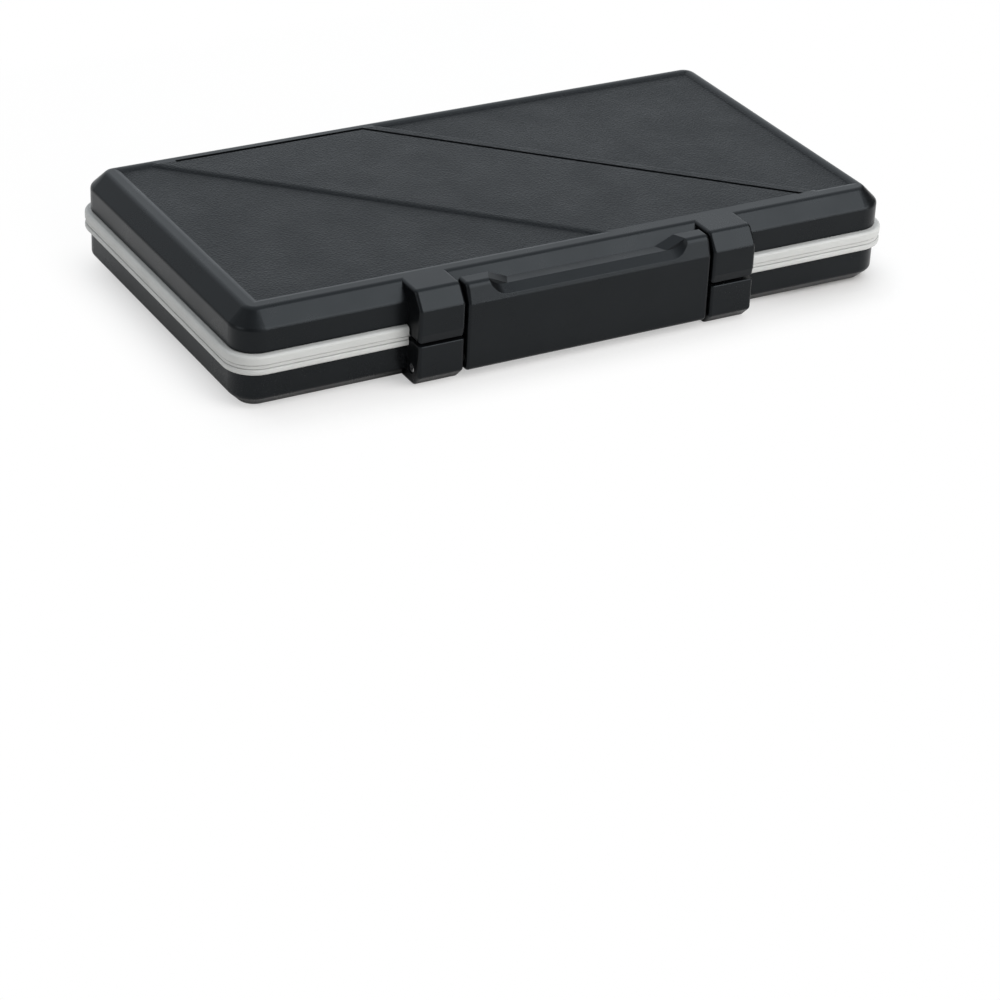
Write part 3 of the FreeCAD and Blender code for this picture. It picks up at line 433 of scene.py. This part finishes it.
class Tint(Enum):
    """Colours of the case, as linear red, green and blue."""

    SHELL = (0.0026, 0.0029, 0.0033)
    LATCH = (0.0027, 0.0030, 0.0034)
    BLOOM = (0.0034, 0.0038, 0.0043)
    BAND = (0.455, 0.455, 0.44)
    BAND_SHADE = (0.43, 0.43, 0.415)
    STEEL = (0.88, 0.88, 0.89)
    STEEL_SHADE = (0.74, 0.74, 0.75)


@dataclass
class DressedNodes:
    """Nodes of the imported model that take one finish."""

    names: tuple[str, ...]
    finish: MouldedPlastic | SoftElastomer | DrawnSteel

    def dress(self) -> None:
        """Give the nodes their finish."""
        material = self.finish.material()
        for name in self.names:
            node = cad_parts[name]
            node.data.materials.clear()
            node.data.materials.append(material)
            log.info("%s: %s", name, self.finish.name)


@dataclass
class Floor:
    """The pale floor that the case lies on, with a shadow that fades out away from the case.

    Each share is the part of the shadow that shows at that side, and each range is where it goes over into
    the share of the front. The shadow fades within reach outside half_length, front_end and rear_end, and
    within mirrored_reach where the case mirrors it.
    """

    half_size: float = 4.0
    colour: Colour = (0.84, 0.82, 0.80)
    left_share: float = 0.28
    front_share: float = 0.58
    right_share: float = 1.0
    rear_share: float = 0.12
    left_range: tuple[float, float] = (-0.105, -0.085)
    right_range: tuple[float, float] = (0.045, 0.075)
    rear_range: tuple[float, float] = (0.03, 0.06)
    half_length: float = 0.095
    front_end: float = -0.056
    rear_end: float = 0.17
    reach: float = 0.016
    mirrored_reach: float = 0.03

    def build(self) -> None:
        """Make the floor and its material."""
        sheet = bmesh.new()
        bmesh.ops.create_grid(sheet, x_segments=1, y_segments=1, size=self.half_size)
        mesh = bpy.data.meshes.new("floor")
        sheet.to_mesh(mesh)
        sheet.free()
        floor = bpy.data.objects.new("floor", mesh)
        bpy.context.scene.collection.objects.link(floor)
        mesh.materials.append(self._material())
        log.info("floor: %.1f m square", 2 * self.half_size)

    def _material(self) -> bpy.types.Material:
        """Make a matte floor that reads white and keeps the shadow.

        Returns:
            The material.
        """
        material, shader = new_material("pale_floor")
        path = shader.tree.nodes.new("ShaderNodeLightPath")
        direct = Value(shader, path.outputs["Is Camera Ray"])
        mirrored = Value(shader, path.outputs["Is Glossy Ray"])
        mirrored = mirrored.larger(Value(shader, path.outputs["Is Transmission Ray"]))
        matte = shader.node("ShaderNodeBsdfDiffuse", None, {"Color": self.colour})
        white = shader.node("ShaderNodeEmission", None, {"Color": (1.0, 1.0, 1.0), "Strength": 1.0})
        across, along, _ = shader.axes(shader.place())
        outside = abs(across) - self.half_length
        outside = outside.larger(self.front_end - along).larger(along - self.rear_end)
        shadow = outside.ramp(0.0, self.reach, 1.0, 0.0) * self._shadow_share(across, along)
        mirrored_shadow = outside.ramp(0.0, self.mirrored_reach, 1.0, 0.0)
        share = direct * (1.0 - shadow) + mirrored * (1.0 - mirrored_shadow)
        shader.finish(shader.node("ShaderNodeMixShader", None, {0: share, 1: matte, 2: white}))
        return material

    def _shadow_share(self, across: Value, along: Value) -> Value:
        """Return how much of the shadow shows beside the case: most at the right, least at the rear.

        Args:
            across: Place along the case.
            along: Place from its front to its rear.

        Returns:
            The share.
        """
        left_part = across.ramp(*self.left_range, self.left_share, self.front_share)
        right_part = across.ramp(*self.right_range, 0.0, self.right_share - self.front_share)
        return (left_part + right_part) * along.ramp(*self.rear_range, 1.0, self.rear_share)


@dataclass
class SoftBox:
    """One flat studio lamp, with its power in watts."""

    name: str
    place: Triple
    size: tuple[float, float]
    power: float
    aim: Triple = (0.0, 0.0, 0.013)

    def build(self) -> None:
        """Make the lamp and turn it to what it lights."""
        lamp = bpy.data.lights.new(self.name, "AREA")
        lamp.shape = "RECTANGLE"
        lamp.size, lamp.size_y = self.size
        lamp.energy = self.power
        item = bpy.data.objects.new(self.name, lamp)
        bpy.context.scene.collection.objects.link(item)
        item.location = self.place
        direction = Vector(self.aim) - Vector(self.place)
        item.rotation_euler = direction.to_track_quat("-Z", "Y").to_euler()
        item.visible_camera = False
        log.info("%s: %.1f W", self.name, self.power)


@dataclass
class Surroundings:
    """A white room, bright above and at the rear right, dim at the front left, dark at the far right."""

    bright: Colour = (1.15, 1.22, 1.285)
    dim: Colour = (0.35, 0.36, 0.37)
    bright_side: Triple = (0.55, 0.45, 0.7)
    dim_end: float = 0.0
    bright_start: float = 0.8
    dark: Colour = (0.12, 0.12, 0.12)
    dark_start: float = 0.6
    dark_end: float = 0.85

    def build(self) -> None:
        """Make the world's shader."""
        world = bpy.data.worlds.new("white_room")
        bpy.context.scene.world = world
        world.use_nodes = True
        shader = Shader(world.node_tree)
        direction = shader.node("ShaderNodeTexCoord", output="Generated")
        toward = shader.node("ShaderNodeVectorMath", {"operation": "DOT_PRODUCT"},
                             {0: direction, 1: self.bright_side}, "Value")
        colour = shader.mix(toward.ramp(self.dim_end, self.bright_start), self.dim, self.bright)
        across = shader.axes(direction)[0]
        colour = shader.mix(across.ramp(self.dark_start, self.dark_end), colour, self.dark)
        light = shader.node("ShaderNodeBackground", None, {"Color": colour, "Strength": 1.0})
        shader.finish(light, "ShaderNodeOutputWorld")


@dataclass
class PhotoCamera:
    """The camera at the photograph's place, with angles in degrees and the lens and sensor in millimetres."""

    eye: Triple = (-0.3832, -0.6722, 0.3683)
    heading: float = 30.247
    pitch: float = 29.643
    roll: float = 2.81
    lens: float = 114.19
    sensor: float = 36.0
    nearest: float = 0.01

    def build(self) -> None:
        """Make the camera and use it for the scene."""
        data = bpy.data.cameras.new("photo_camera")
        data.lens = self.lens
        data.sensor_width = self.sensor
        data.clip_start = self.nearest
        camera = bpy.data.objects.new("photo_camera", data)
        bpy.context.scene.collection.objects.link(camera)
        turn = Matrix.Rotation(math.radians(-self.heading), 4, "Z")
        tip = Matrix.Rotation(math.radians(90.0 - self.pitch), 4, "X")
        lean = Matrix.Rotation(math.radians(self.roll), 4, "Z")
        camera.matrix_world = Matrix.Translation(self.eye) @ turn @ tip @ lean
        bpy.context.scene.camera = camera


@dataclass
class Studio:
    """The floor, the room, the lamps and the camera."""

    floor: Floor = field(default_factory=Floor)
    room: Surroundings = field(default_factory=Surroundings)
    camera: PhotoCamera = field(default_factory=PhotoCamera)
    lamps: tuple[SoftBox, ...] = (
        SoftBox("front_right_box", (0.575, -0.79, 0.70), (0.85, 1.05), 11.0),
        SoftBox("low_strip", (0.57, -1.05, 0.075), (0.8, 0.15), 1.9),
        SoftBox("front_box", (0.05, -1.14, 0.61), (0.7, 0.7), 1.2),
        SoftBox("left_box", (-1.1, -0.1, 0.55), (0.6, 0.6), 2.0),
    )

    def build(self) -> None:
        """Build the studio."""
        bpy.context.scene.view_settings.view_transform = "Standard"
        self.floor.build()
        self.room.build()
        self.camera.build()
        for lamp in self.lamps:
            lamp.build()


def main() -> None:
    """Dress the case and build the studio round it."""
    logging.basicConfig(level=logging.INFO, format="%(name)s: %(message)s")
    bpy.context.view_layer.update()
    shell = MouldedPlastic("satin_black_shell", Tint.SHELL.value, Tint.BLOOM.value, roughness=0.27)
    lid = replace(shell, name="grained_black_lid", grain=GrainPatch())
    latch = MouldedPlastic("satin_black_latch", Tint.LATCH.value, Tint.BLOOM.value, roughness=0.28)
    liner = SoftElastomer("grey_liner", Tint.BAND.value, Tint.BAND_SHADE.value, roughness=0.55)
    steel = DrawnSteel("drawn_steel", Tint.STEEL.value, Tint.STEEL_SHADE.value, roughness=0.3)
    groups = (
        DressedNodes(("base_shell",), shell),
        DressedNodes(("lid_shell",), lid),
        DressedNodes(("latch",), latch),
        DressedNodes(("base_tray", "lid_tray", "seal_ring"), liner),
        DressedNodes(("latch_pin_left", "latch_pin_right", "hinge_pin_left", "hinge_pin_right"), steel),
    )
    for group in groups:
        group.dress()
    Studio().build()


if __name__ == "__main__":
    main()
